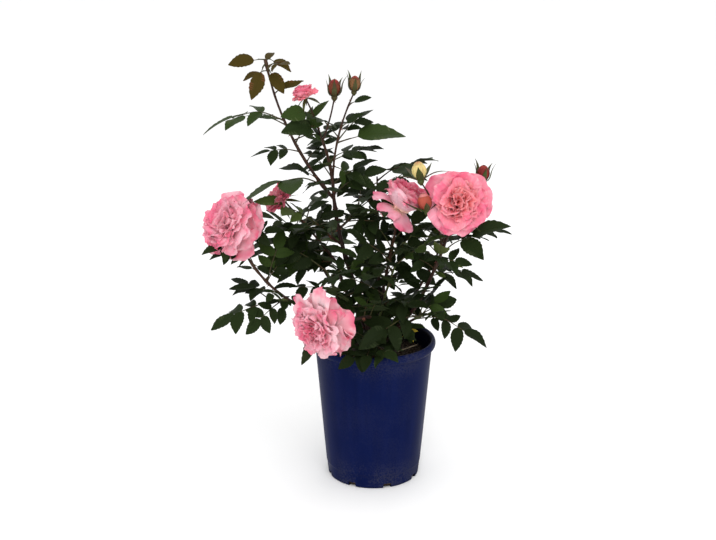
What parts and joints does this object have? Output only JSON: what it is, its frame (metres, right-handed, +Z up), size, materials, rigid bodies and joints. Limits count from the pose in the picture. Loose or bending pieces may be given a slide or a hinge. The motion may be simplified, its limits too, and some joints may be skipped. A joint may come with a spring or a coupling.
{
  "type": "potted rose bush",
  "caption": "Bushy shrub rose with full double pink blooms, buds and toothed compound leaves on prickly canes, growing in a tapered round nursery pot with a rolled rim.",
  "frame": {"origin": "centre of the pot's flat underside", "axes": "+Z up along the pot's axis; +X to the right and +Y away from the viewer who stands in front of the bush"},
  "size_m": [0.4901, 0.3871, 0.6842],
  "materials": {
    "pot": "dark navy moulded plastic with a soft sheen",
    "potting_mix": "damp crumbly potting mix with bits of bark",
    "bark": "purplish red-brown young rose bark",
    "foliage": "dark green leaves with a low gloss, bronze at the tips of young shoots, pink petals"
  },
  "bodies": {
    "root": {"pot": "pot", "potting_mix": "potting_mix", "trunk": "bark", "leader_cane": "bark", "centre_cane": "bark", "left_cane": "bark", "right_cane": "bark", "upper_left_cane": "bark", "front_cane": "bark", "back_cane": "bark", "back_right_cane": "bark", "back_left_cane": "bark", "lower_right_cane": "bark", "bronze_spray": "foliage", "bud_spray": "foliage", "leader_left_spray": "foliage", "leader_right_spray": "foliage", "hidden_bloom_spray": "foliage", "left_bloom_spray": "foliage", "lower_left_spray": "foliage", "front_bloom_spray": "foliage", "centre_bloom_spray": "foliage", "right_bloom_spray": "foliage", "lower_right_spray": "foliage", "skirt_spray": "foliage", "core_spray": "foliage", "left_core_spray": "foliage", "back_spray": "foliage", "back_right_spray": "foliage", "back_left_spray": "foliage"}
  },
  "joints": []
}
